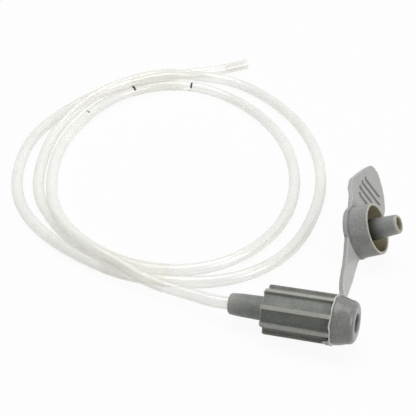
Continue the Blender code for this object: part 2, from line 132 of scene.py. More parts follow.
# Ring in the seam, which wanders and swells a little round its rim
RING_RIM = 0.00752
RING_FLAT = 0.0072
RING_HALF = 0.00022
RING_TIP_ROUND = 0.00012
RING_SIDES = 200
RIM_ZONE = (0.0068, 0.0074)
SEAM_WANDER = 0.00040
SEAM_RIPPLE = 0.00014
SEAM_SWELL = 0.00010

# Ear of the ring: the hinge's place aside from the connector's axis and along it, and the
# knuckle's radius, ends and foot
HINGE = (0.00875, 0.00045)
EAR_HALF = 0.00072
EAR_LEVELS = (-0.0018, 0.0024)
EAR_FOOT = RING_RIM - 0.0007
EAR_FOOT_SPAN = (-0.0003, 0.0006)

# Flash under the seam: its direction, then height, turn aside and size of each lump
FLASH_TURN = math.radians(208.0)
FLASH_LUMPS = (
    (-0.0002, 0.0, 0.00070), (-0.0011, 0.05, 0.00060), (-0.0020, -0.03, 0.00045),
    (-0.0014, -0.10, 0.00045), (-0.0005, -0.15, 0.00045), (0.0002, 0.11, 0.00050),
)
FLASH_ROUGHNESS = 0.35

# Closure cap, along its own axis from the flange's outer face
FLANGE_RADIUS = 0.0088
FLANGE_THICKNESS = 0.00165
SKIRT_RADIUS = 0.00848
SKIRT_INNER = 0.0076
SKIRT_RIM = 0.0085
PLUG_BASE = 0.0038
PLUG_TIP = 0.00315
PLUG_LENGTH = 0.0160
PLUG_EDGE = 0.0008
PLUG_HOLE = 0.00213
PLUG_HOLE_BOTTOM = 0.0060
CUP_EDGE = 0.0001
PLATE_HALF = 0.00080
PLATE_COLUMNS = 13
TAB_LEAN = math.radians(39.7) - CAP_LEAN
TAB_BOW = 0.0003
RIDGE_LENGTHS = (0.0100, 0.0110, 0.0100, 0.0080)
RIDGE_FIRST = 0.0155
RIDGE_PITCH = 0.0032
RIDGE_MIDDLE = 0.0004
RIDGE_DRIFT = 0.0003
RIDGE_WIDTH = 0.0010
RIDGE_HEIGHT = 0.0006
RIDGE_ROUND = 0.00025
VOXEL = 0.00023

# For the paint: the radius inside which the cap is all cup, and the slack round a given size
CUP_CLEAR = 0.0082
NEAR = 0.0003

# Strap and tab: distance along the strap from the flange centre, bow towards the plug, lower edge,
# upper edge, lean in degrees
PLATE_STATIONS = (
    (-0.0360, 0.0037, -0.0024, 0.0018, 5.5),
    (-0.0345, 0.0034, -0.0023, 0.0019, 12.0),
    (-0.0320, 0.0030, -0.0021, 0.0021, 21.0),
    (-0.0285, 0.0025, -0.0024, 0.0022, 27.5),
    (-0.0245, 0.0019, -0.0032, 0.0022, 27.5),
    (-0.0205, 0.0014, -0.0038, 0.0022, 27.5),
    (-0.0165, 0.0008, -0.0043, 0.0023, 27.5),
    (-0.0130, 0.0003, -0.0048, 0.0026, 27.5),
    (-0.0100, 0.0001, -0.0050, 0.0034, 27.5),
    (-0.0060, 0.0000, -0.0056, 0.0046, 27.5),
    (0.0000, 0.0000, -0.0066, 0.0066, 27.5),
    (0.0070, 0.0000, -0.0074, 0.0090, 27.5),
    (0.0100, 0.0001, -0.0078, 0.0096, 30.5),
    (0.0130, 0.0002, -0.0079, 0.0100, 36.5),
    (0.0178, 0.0003, -0.0079, 0.0105, 39.7),
    (0.0213, 0.0003, -0.0077, 0.0097, 39.7),
    (0.0240, 0.0003, -0.0070, 0.0089, 39.7),
    (0.0284, 0.0003, -0.0047, 0.0075, 39.7),
    (0.0310, 0.0003, -0.0027, 0.0065, 39.7),
    (0.0335, 0.0003, -0.0003, 0.0053, 39.7),
    (0.0347, 0.0003, 0.0013, 0.0042, 39.7),
)

# Tapes: middle on the floor from LAY, heading in degrees, length, and a number that sets how
# their ends are ragged. TAPE_REACH is how far aside a strand may lie and still be in the bundle.
TAPE_FRONT = ((-0.0675, 0.0100), 188.0, 0.0225, 1.3)
TAPE_BACK = ((-0.1060, 0.1215), 44.0, 0.0195, 5.1)
TAPE_REACH = 0.0120
TAPE_HALF_WIDTH = TUBE_RADIUS + 0.00030
TAPE_HALF_HEIGHT = TUBE_RADIUS + 0.00025
TAPE_STATIONS = 24
TAPE_SIDES = 48
RAGGED_COARSE = 0.0014
RAGGED_FINE = 0.0006

# Printed depth marks: distance along the tube from the socket's end, first and last direction
# round the tube in degrees from its left side, half length along the tube. MARK_ROUND is the share
# of the way round that a mark loses at each corner.
MARKS = (
    (0.1570, 62.0, 82.0, 0.00036),
    (0.1568, 94.0, 114.0, 0.00036),
    (0.1820, 68.0, 150.0, 0.00048),
    (0.2064, 96.0, 170.0, 0.00036),
    (0.2058, 206.0, 222.0, 0.00026),
    (0.3646, 116.0, 132.0, 0.00030),
)
MARK_LIFT = 0.00002
MARK_STEPS = 10
MARK_ROUND = 0.08
MARK_REACH = 0.0005

# How much of what lies behind it the tube's plastic hides, from face on at 0 to edge on at 1. The
# first peak stands for the edge of the bore.
TUBE_COVER = ((0.0, 0.38), (0.12, 0.36), (0.31, 0.52), (0.48, 0.44), (0.72, 0.52), (1.0, 0.64))

# Where nearly all values of a noise texture lie, how strongly it roughens a surface, and how far
# it moves a plastic's roughness either way
NOISE_RANGE = (0.3, 0.7)
GRAIN_STRENGTH = 0.45
ROUGHNESS_SWING = 0.06

# Floor, surroundings and the two softboxes. FLOOR_WHITE is the share of plain white that the camera
# sees in the floor, and WORLD_LEVEL is how bright the surroundings are as a light.
FLOOR_SIZE = 6.0
FLOOR_DROP = 0.0001
FLOOR_TONE = 0.8
FLOOR_WHITE = 0.93
WORLD_LEVEL = 0.28
KEY_PLACE = (-0.16, 0.14, 0.78)
KEY_SIZE = 0.7
KEY_POWER = 4.6
FILL_PLACE = (0.70, -0.16, 0.34)
FILL_SIZE = 0.5
FILL_POWER = 2.6
AIM = (-0.03, 0.01, 0.0)

# Camera: its place and its target from LAY, and its lens and sensor in millimetres
CAMERA_EYE = (0.0481, -0.2439, 0.2292)
CAMERA_TARGET = (-0.0585, 0.0530, 0.0)
CAMERA_LENS = 96.9
CAMERA_SENSOR = 36.0
CAMERA_NEAR = 0.01


def link(name, mesh):
    obj = bpy.data.objects.new(name, mesh)
    bpy.context.scene.collection.objects.link(obj)
    return obj


def smooth(obj, angle=None):
    """Smooth shading, but for the edges that turn by more than the angle."""
    obj.data.polygons.foreach_set("use_smooth", [True] * len(obj.data.polygons))
    if angle is not None:
        obj.data.set_sharp_from_angle(angle=math.radians(angle))


def freeze(obj):
    """Keep what the modifiers give as the object's own mesh."""
    bpy.context.view_layer.update()
    graph = bpy.context.evaluated_depsgraph_get()
    mesh = bpy.data.meshes.new_from_object(obj.evaluated_get(graph))
    obj.modifiers.clear()
    obj.data = mesh


def skin(name, rows, closed_rows=False, cap_ends=False):
    """An object skinned over rows of points that each run round in a ring. closed_rows joins the
    last row to the first, and cap_ends closes both ends."""
    bm = bmesh.new()
    verts = [[bm.verts.new(p) for p in row] for row in rows]
    count = len(verts)
    width = len(rows[0])
    for i in range(count if closed_rows else count - 1):
        a = verts[i]
        b = verts[(i + 1) % count]
        for k in range(width):
            n = (k + 1) % width
            bm.faces.new((a[k], a[n], b[n], b[k]))
    if cap_ends:
        bm.faces.new(verts[0])
        bm.faces.new(list(reversed(verts[-1])))
    bmesh.ops.recalc_face_normals(bm, faces=bm.faces)
    mesh = bpy.data.meshes.new(name)
    bm.to_mesh(mesh)
    bm.free()
    return link(name, mesh)


def ring_row(radius, height, matrix, sides=96):
    """Points of a circle round a matrix's own upright axis."""
    row = []
    for k in range(sides):
        turn = 2 * math.pi * k / sides
        row.append(matrix @ Vector((radius * math.cos(turn), radius * math.sin(turn), height)))
    return row


def arc(centre, radius, start, end, steps):
    """Points of an arc in the (radius, height) plane, angles in degrees."""
    points = []
    for i in range(steps + 1):
        turn = math.radians(start + (end - start) * i / steps)
        points.append((centre[0] + radius * math.cos(turn), centre[1] + radius * math.sin(turn)))
    return points


def ease(value, low, high):
    """0 below low, 1 above high, a smooth step between."""
    share = min(1.0, max(0.0, (value - low) / (high - low)))
    return share * share * (3 - 2 * share)


def paint(obj, name, to_local, value_at):
    """Store a number at each vertex, worked out from its radius and place in a local frame."""
    values = []
    for vert in obj.data.vertices:
        local = to_local @ vert.co
        values.append(value_at(math.hypot(local.x, local.y), local))
    layer = obj.data.attributes.new(name, "FLOAT", "POINT")
    layer.data.foreach_set("value", values)


def new_material(name):
    mat = bpy.data.materials.new(name)
    mat.use_nodes = True
    return mat, mat.node_tree.nodes, mat.node_tree.links


def noise_node(nodes, links, scale, detail, roughness=0.5):
    """Noise fixed to the object, in metres."""
    coords = nodes.new("ShaderNodeTexCoord")
    texture = nodes.new("ShaderNodeTexNoise")
    texture.inputs["Scale"].default_value = scale
    texture.inputs["Detail"].default_value = detail
    texture.inputs["Roughness"].default_value = roughness
    links.new(coords.outputs["Object"], texture.inputs["Vector"])
    return texture.outputs["Fac"]


def two_tone(nodes, links, factor, low, high, start=0.35, end=0.65):
    """A colour that goes from low to high as the factor goes from start to end."""
    ramp = nodes.new("ShaderNodeValToRGB")
    ramp.color_ramp.elements[0].position = start
    ramp.color_ramp.elements[0].color = (*low, 1.0)
    ramp.color_ramp.elements[1].position = end
    ramp.color_ramp.elements[1].color = (*high, 1.0)
    links.new(factor, ramp.inputs["Fac"])
    return ramp.outputs["Color"]


def spread(nodes, links, factor, low, high):
    """A number that follows a noise between low and high."""
    scale = nodes.new("ShaderNodeMapRange")
    scale.inputs["From Min"].default_value = NOISE_RANGE[0]
    scale.inputs["From Max"].default_value = NOISE_RANGE[1]
    scale.inputs["To Min"].default_value = low
    scale.inputs["To Max"].default_value = high
    links.new(factor, scale.inputs["Value"])
    return scale.outputs["Result"]


def roughen(nodes, links, height, shader, distance):
    """A fine bump on the shader's surface."""
    bump = nodes.new("ShaderNodeBump")
    bump.inputs["Strength"].default_value = GRAIN_STRENGTH
    bump.inputs["Distance"].default_value = distance
    links.new(height, bump.inputs["Height"])
    links.new(bump.outputs["Normal"], shader.inputs["Normal"])


def moulded(name, low, high, roughness, gloss, grain_depth, tints=()):
    """Moulded plastic: cloudy mottling under a fine satin grain. Each tint is the name of a number
    stored on the mesh and the colour that it leads to."""
    mat, nodes, links = new_material(name)
    shader = nodes["Principled BSDF"]
    cloud = noise_node(nodes, links, scale=260.0, detail=5.0, roughness=0.6)
    speckle = noise_node(nodes, links, scale=1500.0, detail=3.0, roughness=0.65)
    colour = two_tone(nodes, links, cloud, low, high, start=0.34, end=0.66)
    for stored, tint in tints:
        where = nodes.new("ShaderNodeAttribute")
        where.attribute_name = stored
        mix = nodes.new("ShaderNodeMix")
        mix.data_type = "RGBA"
        links.new(where.outputs["Fac"], mix.inputs["Factor"])
        links.new(colour, mix.inputs["A"])
        mix.inputs["B"].default_value = (*tint, 1.0)
        colour = mix.outputs["Result"]
    grain = nodes.new("ShaderNodeMix")
    grain.data_type = "RGBA"
    grain.blend_type = "MULTIPLY"
    grain.inputs["Factor"].default_value = 1.0
    links.new(colour, grain.inputs["A"])
    flecks = two_tone(nodes, links, speckle, (0.80, 0.80, 0.79), (1.0, 1.0, 1.0), start=0.36, end=0.60)
    links.new(flecks, grain.inputs["B"])
    links.new(grain.outputs["Result"], shader.inputs["Base Color"])
    uneven = spread(nodes, links, speckle, roughness - ROUGHNESS_SWING, roughness + ROUGHNESS_SWING)
    links.new(uneven, shader.inputs["Roughness"])
    roughen(nodes, links, speckle, shader, grain_depth)
    shader.inputs["Specular IOR Level"].default_value = gloss
    return mat


def clear_tube():
    """Milky clear soft plastic: cloudy, glossy, and denser to look through towards its edges."""
    mat, nodes, links = new_material("tube_plastic")
    shader = nodes["Principled BSDF"]
    cloud = noise_node(nodes, links, scale=140.0, detail=4.0)
    colour = two_tone(nodes, links, cloud, (0.870, 0.862, 0.800), (0.975, 0.968, 0.915), *NOISE_RANGE)
    links.new(colour, shader.inputs["Base Color"])
    edge = nodes.new("ShaderNodeLayerWeight")
    edge.inputs["Blend"].default_value = 0.5
    cover = nodes.new("ShaderNodeFloatCurve")
    curve = cover.mapping.curves[0]
    curve.points[0].location = TUBE_COVER[0]
    curve.points[1].location = TUBE_COVER[-1]
    for facing, share in TUBE_COVER[1:-1]:
        curve.points.new(facing, share)
    cover.mapping.update()
    links.new(edge.outputs["Facing"], cover.inputs["Value"])
    links.new(cover.outputs["Value"], shader.inputs["Alpha"])
    fine = noise_node(nodes, links, scale=500.0, detail=2.0)
    links.new(spread(nodes, links, fine, low=0.12, high=0.22), shader.inputs["Roughness"])
    shader.inputs["IOR"].default_value = 1.9
    shader.inputs["Specular IOR Level"].default_value = 0.8
    return mat


def film(name, colour, cover):
    """Clear tape with a faint yellow cast, wrinkles and cloudy patches. Cover is the share of what
    lies behind it that it hides."""
    mat, nodes, links = new_material(name)
    shader = nodes["Principled BSDF"]
    wrinkle = noise_node(nodes, links, scale=420.0, detail=4.0)
    pale = tuple(min(1.0, channel * 1.12) for channel in colour)
    links.new(two_tone(nodes, links, wrinkle, colour, pale), shader.inputs["Base Color"])
    patchy = spread(nodes, links, wrinkle, low=cover * 0.7, high=cover * 1.4)
    links.new(patchy, shader.inputs["Alpha"])
    roughen(nodes, links, wrinkle, shader, distance=0.0002)
    shader.inputs["Roughness"].default_value = 0.3
    return mat


def ink():
    """Near-black print, a little patchy."""
    mat, nodes, links = new_material("mark_ink")
    shader = nodes["Principled BSDF"]
    patchy = noise_node(nodes, links, scale=1800.0, detail=2.0)
    colour = two_tone(nodes, links, patchy, (0.004, 0.004, 0.006), (0.030, 0.028, 0.036))
    links.new(colour, shader.inputs["Base Color"])
    shader.inputs["Roughness"].default_value = 0.55
    return mat


def grip_radius(turn):
    """Outer radius of the grip at a direction round its axis."""
    pitch = 2 * math.pi / RIBS
    off = abs((turn + pitch / 2) % pitch - pitch / 2)
    flat = VALLEY_CORNER * math.cos(pitch / 2) / math.cos(pitch / 2 - off)
    rise = ease(-off * RIB_TIP, -RIB_HALF_WIDTH - RIB_WALL, -RIB_HALF_WIDTH)
    return flat + (RIB_TIP - flat) * rise


def grip_turns():
    """Directions round the grip: close together on the rib walls, wider on tops and valleys."""
    pitch = 2 * math.pi / RIBS
    top = RIB_HALF_WIDTH / RIB_TIP
    foot = (RIB_HALF_WIDTH + RIB_WALL) / RIB_TIP
    half = [top * k / 2 for k in range(3)]
    half += [top + (foot - top) * k / 4 for k in range(1, 5)]
    half += [foot + (pitch / 2 - foot) * k / 5 for k in range(1, 5)]
    whole = [-turn for turn in reversed(half[1:])] + half + [pitch / 2]
    return [rib * pitch + turn for rib in range(RIBS) for turn in whole]


def build_grip():
    """Socket, neck, ribbed grip and the face under the nose, in one skin."""
    turns = grip_turns()

    def row(radius, height):
        return [CONNECTOR @ Vector((radius * math.cos(turn), radius * math.sin(turn), height))
                for turn in turns]

    def ribbed_row(inset, height):
        points = []
        for turn in turns:
            radius = grip_radius(turn) - inset
            points.append(CONNECTOR @ Vector((radius * math.cos(turn), radius * math.sin(turn), height)))
        return points

    mouth = TUBE_RADIUS + SOCKET_GAP
    neck = [(mouth, NECK_END + SOCKET_SHOWN), (mouth, NECK_END + MOUTH_ROUND)]
    neck += arc((mouth + MOUTH_ROUND, NECK_END + MOUTH_ROUND), MOUTH_ROUND, 180, 270, 4)[1:-1]
    neck += arc((NECK_ROUND_RADIUS, NECK_END + NECK_ROUND), NECK_ROUND, -60, 0, 6)
    neck.append((NECK_NEAR_END[0], NECK_END + NECK_NEAR_END[1]))
    neck.append((NECK_NEAR_GRIP[0], GRIP_LEFT - NECK_NEAR_GRIP[1]))
    neck += arc((NECK_FILLET_RADIUS, GRIP_LEFT - NECK_FILLET), NECK_FILLET, 180, 90, 4)
    neck.append((SHOULDER, GRIP_LEFT))
    rows = [row(radius, height) for radius, height in neck]
    rows += [ribbed_row(inset, GRIP_LEFT + height) for inset, height in GRIP_EDGE]
    start = GRIP_LEFT + GRIP_EDGE[-1][1]
    end = GRIP_RIGHT - GRIP_RIGHT_EDGE[1]
    rows += [ribbed_row(0.0, start + (end - start) * k / GRIP_STEPS) for k in range(1, GRIP_STEPS + 1)]
    rows.append(ribbed_row(GRIP_RIGHT_EDGE[0], GRIP_RIGHT))
    rows += [row(SPIGOT, GRIP_RIGHT), row(SPIGOT, GRIP_RIGHT - SPIGOT_DEPTH)]
    obj = skin("grip_shell", rows)

    def painted_highlight(radius, place):
        """Painted highlight: paler along the ribs' tops, round the grip's left edge and at the neck's end.
        """
        on_rib = 0.75 * ease(radius, 0.00735, 0.00752)
        left_edge = 0.9 if radius > SHOULDER and abs(place.z - GRIP_LEFT - 0.0002) < 0.00035 else 0.0
        neck_edge = 0.45 if place.z < NECK_END + 0.0009 else 0.0
        return max(on_rib, left_edge, neck_edge)

    def painted_shade(radius, place):
        """Painted shade: darker down in the valleys, most of all on the grip's lower side."""
        below = ease(place.x, -0.0066, -0.0010)
        recess = 1 - ease(radius, 0.00662, 0.00690)
        return (0.1 + 0.45 * below) * recess if place.z > GRIP_LEFT + NEAR else 0.0

    paint(obj, "painted_highlight", CONNECTOR.inverted(), painted_highlight)
    paint(obj, "painted_shade", CONNECTOR.inverted(), painted_shade)
    smooth(obj, 42)
    return obj


def build_nose():
    """The barrel-shaped nose with a round lip and a short way into the funnel."""
    profile = list(NOSE_BARREL)
    profile += arc((NOSE_LIP_RADIUS, NOSE_END - NOSE_LIP), NOSE_LIP, 14, 84, 9)
    profile += arc((NOSE_HOLE + NOSE_HOLE_ROUND, NOSE_END - NOSE_HOLE_ROUND), NOSE_HOLE_ROUND, 90, 180, 6)
    profile += [(NOSE_HOLE, NOSE_HOLE_DEPTH), *NOSE_BORE]
    obj = skin("nose_shell", [ring_row(r, z, CONNECTOR) for r, z in profile])

    def inside(radius, place):
        """The hole's wall, up to its rounding."""
        if radius >= NOSE_HOLE + NOSE_HOLE_ROUND:
            return 0.0
        return 1 - ease(place.z, NOSE_END - 0.0022, NOSE_END - NOSE_HOLE_ROUND)

    paint(obj, "inside", CONNECTOR.inverted(), inside)
    smooth(obj, 40)
    return obj


def add_flash(bm):
    """A lump of moulding flash on the underside of the seam."""
    for height, aside, size in FLASH_LUMPS:
        turn = FLASH_TURN + aside
        place = CONNECTOR @ Vector((-RING_RIM * math.sin(turn), RING_RIM * math.cos(turn), height))
        made = bmesh.ops.create_icosphere(bm, subdivisions=3, radius=size, matrix=Matrix.Translation(place))
        for vert in made["verts"]:
            vert.co += (vert.co - place) * FLASH_ROUGHNESS * noise.noise(vert.co * 2600)


def add_ear(bm):
    """The ear behind the seam that carries the strap, with a round knuckle on the hinge's axis."""
    outline = [(EAR_FOOT, EAR_FOOT_SPAN[0])]
    outline += arc(HINGE, EAR_HALF, -90, 90, 8)
    outline.append((EAR_FOOT, EAR_FOOT_SPAN[1]))
    low, high = ([bm.verts.new(CONNECTOR @ Vector((level, aside, along))) for aside, along in outline]
                 for level in EAR_LEVELS)
    faces = [bm.faces.new(low), bm.faces.new(list(reversed(high)))]
    for k in range(len(outline)):
        n = (k + 1) % len(outline)
        faces.append(bm.faces.new((low[k], high[k], high[n], low[n])))
    bmesh.ops.recalc_face_normals(bm, faces=faces)


def build_ring():
    """The washer's rim in the seam: a thin, uneven line, the flash under it and the ear behind it."""
    section = [(SPIGOT, -RING_HALF), (RING_FLAT, -RING_HALF)]
    section += arc((RING_RIM - RING_TIP_ROUND, 0.0), RING_HALF, -60, 60, 4)
    section += [(RING_FLAT, RING_HALF), (SPIGOT, RING_HALF)]
    rows = []
    for radius, height in section:
        row = []
        for k in range(RING_SIDES):
            turn = 2 * math.pi * k / RING_SIDES
            way = Vector((math.cos(turn), math.sin(turn), 0.0))
            rim = ease(radius, *RIM_ZONE)
            wander = SEAM_WANDER * noise.noise(way * 4) + SEAM_RIPPLE * noise.noise(way * 17)
            swell = SEAM_SWELL * noise.noise(way * 15 + Vector((0.0, 0.0, 4.0)))
            r = radius + rim * swell
            row.append(CONNECTOR @ Vector((r * way.x, r * way.y, height + rim * wander)))
        rows.append(row)
    obj = skin("ring_shell", rows, closed_rows=True)
    bm = bmesh.new()
    bm.from_mesh(obj.data)
    add_flash(bm)
    add_ear(bm)
    bm.to_mesh(obj.data)
    bm.free()
    smooth(obj, 60)
    return obj


def plate_point(station, across, out):
    """Point on the strap and tab: across runs from 0 to 1, out is off its middle surface."""
    along, bow, lower, upper, lean = station
    side = lower + across * (upper - lower)
    twist = math.radians(lean) - CAP_LEAN
    return CAP @ Vector((-side * math.cos(twist) - out * math.sin(twist), along,
                         FLANGE_THICKNESS / 2 + bow - side * math.sin(twist) + out * math.cos(twist)))


def smooth_stations(stations, per=4):
    """Read more stations off Catmull-Rom curves through the given ones."""
    table = np.array(stations)
    out = []
    last = len(table) - 1
    for i in range(last):
        a = table[max(i - 1, 0)]
        b = table[i]
        c = table[i + 1]
        d = table[min(i + 2, last)]
        for k in range(per):
            t = k / per
            out.append(0.5 * (2 * b + (c - a) * t + (2 * a - 5 * b + 4 * c - d) * t * t
                              + (3 * b - a - 3 * c + d) * t ** 3))
    out.append(table[-1])
    return [tuple(row) for row in out]


def build_plate():
    """Strap and tab as one plate of even thickness."""
    shares = [k / (PLATE_COLUMNS - 1) for k in range(PLATE_COLUMNS)]
    rows = []
    for station in smooth_stations(PLATE_STATIONS):
        row = [plate_point(station, share, PLATE_HALF) for share in shares]
        row += [plate_point(station, share, -PLATE_HALF) for share in reversed(shares)]
        rows.append(row)
    return skin("cap_shell", rows, cap_ends=True)


def build_cup():
    """Flange, skirt and plug, turned about the cap's own axis."""
    floor = FLANGE_THICKNESS
    profile = [(PLUG_HOLE, PLUG_HOLE_BOTTOM), (PLUG_HOLE, PLUG_LENGTH - 0.0008)]
    profile += arc((PLUG_HOLE + 0.0002, PLUG_LENGTH - 0.0002), 0.0002, 180, 90, 2)
    profile += arc((PLUG_TIP - PLUG_EDGE, PLUG_LENGTH - PLUG_EDGE), PLUG_EDGE, 80, 0, 5)
    profile += [(PLUG_BASE, floor), (SKIRT_INNER, floor), (SKIRT_INNER, SKIRT_RIM - CUP_EDGE),
                (SKIRT_INNER + CUP_EDGE, SKIRT_RIM), (SKIRT_RADIUS - CUP_EDGE, SKIRT_RIM),
                (SKIRT_RADIUS, SKIRT_RIM - CUP_EDGE), (SKIRT_RADIUS, floor),
                (FLANGE_RADIUS - CUP_EDGE, floor), (FLANGE_RADIUS, floor - 0.00015),
                (FLANGE_RADIUS, 2 * CUP_EDGE), (FLANGE_RADIUS - 2 * CUP_EDGE, 0.0)]
    return skin("cup_blank", [ring_row(r, z, CAP) for r, z in profile], cap_ends=True)


def build_ridge(i, length):
    """One of the plain grip ridges across the tab."""
    bm = bmesh.new()
    bmesh.ops.create_cube(bm, size=1.0)
    bmesh.ops.scale(bm, vec=(length, RIDGE_WIDTH, 2 * PLATE_HALF), verts=bm.verts)
    mesh = bpy.data.meshes.new(f"ridge_{i}")
    bm.to_mesh(mesh)
    bm.free()
    ridge = link(mesh.name, mesh)
    middle = RIDGE_MIDDLE + RIDGE_DRIFT * i
    face = FLANGE_THICKNESS / 2 + TAB_BOW
    place = Vector((-middle * math.cos(TAB_LEAN) - RIDGE_HEIGHT * math.sin(TAB_LEAN),
                    RIDGE_FIRST + i * RIDGE_PITCH,
                    face - middle * math.sin(TAB_LEAN) + RIDGE_HEIGHT * math.cos(TAB_LEAN)))
    ridge.matrix_world = CAP @ Matrix.Translation(place) @ Matrix.Rotation(-TAB_LEAN, 4, "Y")
    soft = ridge.modifiers.new("round", "BEVEL")
    soft.width = RIDGE_ROUND
    soft.segments = 2
    return ridge


def build_cap():
    """Strap, tab, ridges and cup joined and melted together, as moulded in one shot."""
    cap = build_plate()
    parts = [build_cup()] + [build_ridge(i, length) for i, length in enumerate(RIDGE_LENGTHS)]
    for part in parts:
        join = cap.modifiers.new(part.name, "BOOLEAN")
        join.solver = "EXACT"
        join.operation = "UNION"
        join.object = part
    fuse = cap.modifiers.new("fuse", "REMESH")
    fuse.mode = "VOXEL"
    fuse.voxel_size = VOXEL
    relax = cap.modifiers.new("relax", "SMOOTH")
    relax.factor = 0.5
    relax.iterations = 3
    freeze(cap)
    for part in parts:
        bpy.data.objects.remove(part, do_unlink=True)
    smooth(cap)

    stations = np.array(PLATE_STATIONS).T

    def on_plate(place):
        """Place on the strap or tab: distance inside its upper edge, distance out from its middle
        surface, and place across it."""
        bow, upper, lean = (np.interp(place.y, stations[0], stations[row]) for row in (1, 3, 4))
        twist = math.radians(lean) - CAP_LEAN
        height = place.z - FLANGE_THICKNESS / 2 - bow
        side = -(place.x * math.cos(twist) + height * math.sin(twist))
        return upper - side, height * math.cos(twist) - place.x * math.sin(twist), side

    def plate(radius, place):
        """Paler tone of strap and tab, with painted highlights on the flange's rim and along the upper edge
        of strap and tab, and the strap's face painted paler than its side as if lit.
        """
        if radius < CUP_CLEAR:
            return 0.0
        if place.z < 0.0024 and radius < FLANGE_RADIUS + NEAR and abs(place.x) > 0.0050:
            return 0.40 * (1 - ease(place.z, 0.0012, 0.0016))
        edge, out, _ = on_plate(place)
        face = ease(out, 0.00035, 0.00060)
        at_edge = 1 - ease(edge, 0.0001, 0.0004)
        if place.y < 0:
            value = 0.30 + 0.40 * face + 0.25 * face * at_edge
        else:
            value = 0.40 + 0.50 * at_edge
        return value * ease(radius, 0.0083, 0.0094)

    def ridge_place(place):
        """Distance from the nearest ridge's middle line, or None away from the ridges."""
        _, out, side = on_plate(place)
        if out < NEAR or place.y < RIDGE_FIRST - 0.0045:
            return None
        i = min(len(RIDGE_LENGTHS) - 1, max(0, round((place.y - RIDGE_FIRST) / RIDGE_PITCH)))
        beyond = abs(side - RIDGE_MIDDLE - RIDGE_DRIFT * i) - RIDGE_LENGTHS[i] / 2 + RIDGE_WIDTH / 2
        return math.hypot(abs(place.y - RIDGE_FIRST - i * RIDGE_PITCH), max(0.0, beyond))

    def inside(radius, place):
        """The warmer plastic inside the cup and the plug's hole."""
        in_cup = (ease(radius, 0.0040, 0.0050) * (1 - ease(radius, 0.0077, 0.0081))
                  * ease(place.z, 0.0009, 0.0014) * (1 - ease(place.z, 0.0079, 0.0085)))
        in_hole = (1 - ease(radius, PLUG_HOLE, PLUG_HOLE + 0.0003)) * ease(place.z, 0.0050, 0.0056)
        return max(in_cup, in_hole)

    def rim(radius, place):
        """Painted highlight: the pale rim of the skirt and the plug's tip."""
        on_skirt = SKIRT_INNER - NEAR < radius < FLANGE_RADIUS and place.z < SKIRT_RIM + NEAR
        on_rim = ease(place.z, SKIRT_RIM - 0.0004, SKIRT_RIM - 0.0001) if on_skirt else 0.0
        near_tip = ease(place.z, PLUG_LENGTH - 0.0012, PLUG_LENGTH - 0.0004)
        return max(on_rim, 0.6 * near_tip if radius > PLUG_HOLE + 0.0002 else 0.0)

    def painted_shade(radius, place):
        """Painted shade: darker down the plug, along the flange's groove, under the skirt and beside the
        ridges.
        """
        if radius < PLUG_BASE + 0.0004 and place.z > FLANGE_THICKNESS / 2:
            return 1 - ease(place.z, 0.0060, 0.0132)
        if 0.0079 < radius < FLANGE_RADIUS + NEAR and place.z < SKIRT_RIM + NEAR:
            groove = 0.5 * (1 - ease(abs(place.z - 0.0019), 0.0001, 0.0004))
            return max(groove, 0.55 * ease(place.x, 0.0, 0.0075))
        away = ridge_place(place)
        return 0.0 if away is None else 0.75 * (1 - ease(abs(away - 0.00078), 0.00015, 0.00040))

    for name, value_at in (("plate", plate), ("inside", inside), ("rim", rim), ("painted_shade", painted_shade)):
        paint(cap, name, CAP.inverted(), value_at)
    return cap


def smooth_route(points, spacing, fine_steps=8000):
    """Evenly spaced points of a natural cubic spline through the route's points."""
    knots = np.array(points)
    step = np.linalg.norm(np.diff(knots, axis=0), axis=1)
    place = np.concatenate(([0.0], np.cumsum(step)))
    size = len(knots)
    matrix = np.zeros((size, size))
    bends = np.zeros((size, 3))
    matrix[0, 0] = 1.0
    matrix[-1, -1] = 1.0
    for i in range(1, size - 1):
        matrix[i, i - 1:i + 2] = (step[i - 1], 2 * (step[i - 1] + step[i]), step[i])
        bends[i] = 6 * ((knots[i + 1] - knots[i]) / step[i] - (knots[i] - knots[i - 1]) / step[i - 1])
    second = np.linalg.solve(matrix, bends)
    where = np.linspace(0.0, place[-1], fine_steps)
    i = np.clip(np.searchsorted(place, where) - 1, 0, size - 2)
    width = step[i][:, None]
    after = (where - place[i])[:, None] / width
    before = 1 - after
    fine = (before * knots[i] + after * knots[i + 1]
            + ((before**3 - before) * second[i] + (after**3 - after) * second[i + 1]) * width**2 / 6)
    run = run_along(fine)
    even = np.linspace(0.0, run[-1], int(run[-1] / spacing) + 1)
    return np.stack([np.interp(even, run, fine[:, axis]) for axis in range(3)], axis=1)


def run_along(points):
    """Distance along a line of points, at each of them."""
    return np.concatenate(([0.0], np.cumsum(np.linalg.norm(np.diff(points, axis=0), axis=1))))


def tube_route():
    """Straight out of the neck's socket, then through the chosen points."""
    inside = NECK_END + SOCKET_DEPTH - SOCKET_GAP
    heights = (inside, (inside + NECK_END) / 2, NECK_END, NECK_END - TUBE_LEAD)
    straight = [SEAM + AXIS * height for height in heights]
    return [tuple(p) for p in straight] + [tuple(LAY + Vector(p)) for p in ROUTE]


def tube_frame(place, ahead):
    """Place, and the left and upward directions square to the tube."""
    ahead = Vector(ahead).normalized()
    side = Vector((0.0, 0.0, 1.0)).cross(ahead).normalized()
    return Vector(place), side, ahead.cross(side)


def around(frame, radius, turn):
    """Point at a radius and a direction round the tube, counted from its left side."""
    place, side, up = frame
    return place + (side * math.cos(turn) + up * math.sin(turn)) * radius


